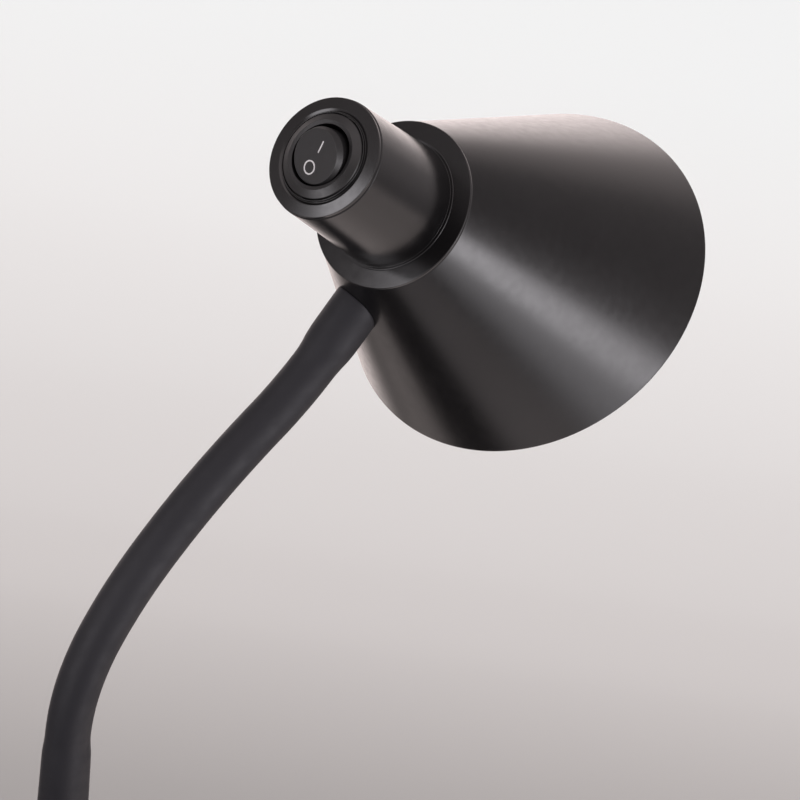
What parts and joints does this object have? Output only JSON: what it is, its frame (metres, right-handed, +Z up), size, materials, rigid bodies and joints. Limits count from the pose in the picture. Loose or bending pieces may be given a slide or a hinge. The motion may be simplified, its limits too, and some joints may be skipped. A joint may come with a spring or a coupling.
{
  "type": "gooseneck desk lamp",
  "caption": "Desk lamp with a weighted round base, a gooseneck in a black sleeve and a conical shade with a round rocker switch on its back.",
  "frame": {"origin": "centre of the base on the table", "axes": "+Z up, +X towards the side that the head points to, +Y to the left of it"},
  "size_m": [0.2755, 0.16, 0.4115],
  "materials": {
    "black_coat": "satin black powder coat, fine orange peel",
    "black_cap": "black moulded cap, satin gloss",
    "switch_plastic": "black moulded nylon, satin",
    "rocker_plastic": "black moulded nylon, satin, white marks",
    "silicone": "black silicone, soft sheen",
    "foam": "black EVA foam",
    "plated_steel": "bright zinc plate",
    "spiral_steel": "wound steel strip, oiled",
    "turned_steel": "turned, nickel plate",
    "raw_iron": "cast, raw",
    "plate_steel": "pressed sheet, zinc plate",
    "brass": "plain",
    "phenolic": "black phenolic, matt",
    "steatite": "cream steatite",
    "bush_nylon": "black nylon",
    "wire_pvc": "insulated wire",
    "acetal": "natural acetal",
    "bulb_steel": "nickel plate",
    "bulb_glass_black": "black glass bead and solder tip",
    "bulb_white": "white moulded",
    "led_board": "white board with six emitters",
    "opal": "opal, satin"
  },
  "bodies": {
    "base": {"foot_pad": "foam", "base_plate": "plate_steel", "base_plate_screws": "plated_steel", "base_weight": "raw_iron", "base_cover": "black_coat", "cord_inlet_bush": "bush_nylon", "stem_collar": "black_coat", "stem_nipple": "plated_steel", "stem_washer": "plated_steel", "stem_nut": "plated_steel", "stem_plug": "turned_steel", "stem_tube": "black_coat", "neck_lower_nipple": "turned_steel", "neck_spiral_1": "spiral_steel", "neck_sleeve_1": "silicone"},
    "neck_2": {"neck_spiral_2": "spiral_steel", "neck_sleeve_2": "silicone"},
    "neck_3": {"neck_spiral_3": "spiral_steel", "neck_sleeve_3": "silicone"},
    "neck_4": {"neck_spiral_4": "spiral_steel", "neck_sleeve_4": "silicone"},
    "neck_5": {"neck_spiral_5": "spiral_steel", "neck_sleeve_5": "silicone"},
    "neck_6": {"neck_spiral_6": "spiral_steel", "neck_sleeve_6": "silicone"},
    "head": {"neck_spiral_7": "spiral_steel", "neck_sleeve_7": "silicone", "neck_socket": "turned_steel", "neck_saddle_washer": "turned_steel", "neck_nut": "plated_steel", "shade": "black_coat", "flange": "black_coat", "flange_nuts": "plated_steel", "housing_tube": "black_coat", "end_cap": "black_cap", "switch_body": "switch_plastic", "switch_common_terminal": "brass", "switch_load_terminal": "brass", "link_wires": "wire_pvc", "holder_bracket": "plated_steel", "holder_nipple": "plated_steel", "holder_nut": "plated_steel", "lampholder_cap": "phenolic", "lampholder_skirt": "phenolic", "lampholder_insert": "steatite", "lampholder_shell": "brass", "lampholder_contact": "brass"},
    "rocker": {"rocker": "rocker_plastic", "rocker_spring": "plated_steel", "rocker_plunger": "acetal"},
    "contact": {"contact_seesaw": "brass"},
    "bulb": {"bulb_contact": "bulb_glass_black", "bulb_screw_cap": "bulb_steel", "bulb_collar": "bulb_white", "bulb_led_board": "led_board", "bulb_globe": "opal"}
  },
  "joints": [
    {"name": "neck_bend_1", "type": "hinge", "parent": "base", "child": "neck_2", "pos_m": [0, 0, 0.243], "axis": [0, 1, 0], "range_deg": [-40, 15]},
    {"name": "neck_side_bend_2", "type": "hinge", "parent": "neck_2", "child": "neck_3", "pos_m": [0.00821, 0, 0.26555], "axis": [-0.891, 0, 0.454], "range_deg": [-22, 22]},
    {"name": "neck_bend_3", "type": "hinge", "parent": "neck_3", "child": "neck_4", "pos_m": [0.02163, 0, 0.28545], "axis": [0, 1, 0], "range_deg": [-28, 20]},
    {"name": "neck_bend_4", "type": "hinge", "parent": "neck_4", "child": "neck_5", "pos_m": [0.0386, 0, 0.30242], "axis": [0, 1, 0], "range_deg": [-25, 22]},
    {"name": "neck_side_bend_5", "type": "hinge", "parent": "neck_5", "child": "neck_6", "pos_m": [0.05725, 0, 0.31752], "axis": [-0.6361, 0, 0.7716], "range_deg": [-22, 22]},
    {"name": "neck_bend_6", "type": "hinge", "parent": "neck_6", "child": "head", "pos_m": [0.07564, 0, 0.33295], "axis": [0, 1, 0], "range_deg": [-24, 28]},
    {"name": "rocker_switch", "type": "hinge", "parent": "head", "child": "rocker", "pos_m": [0.06863, 0, 0.3991], "axis": [0, 1, 0], "range_deg": [0, 22]},
    {"name": "contact_tilt", "type": "hinge", "parent": "head", "child": "contact", "pos_m": [0.07643, 0, 0.39222], "axis": [0, 1, 0], "range_deg": [-11, 0]},
    {"name": "bulb_unscrew", "type": "slide", "parent": "head", "child": "bulb", "axis": [0.7501, 0, -0.6613], "range_m": [0, 0.022]}
  ],
  "couplings": [
    {"joint": "contact_tilt", "follows": "rocker_switch", "ratio": -0.5}
  ]
}
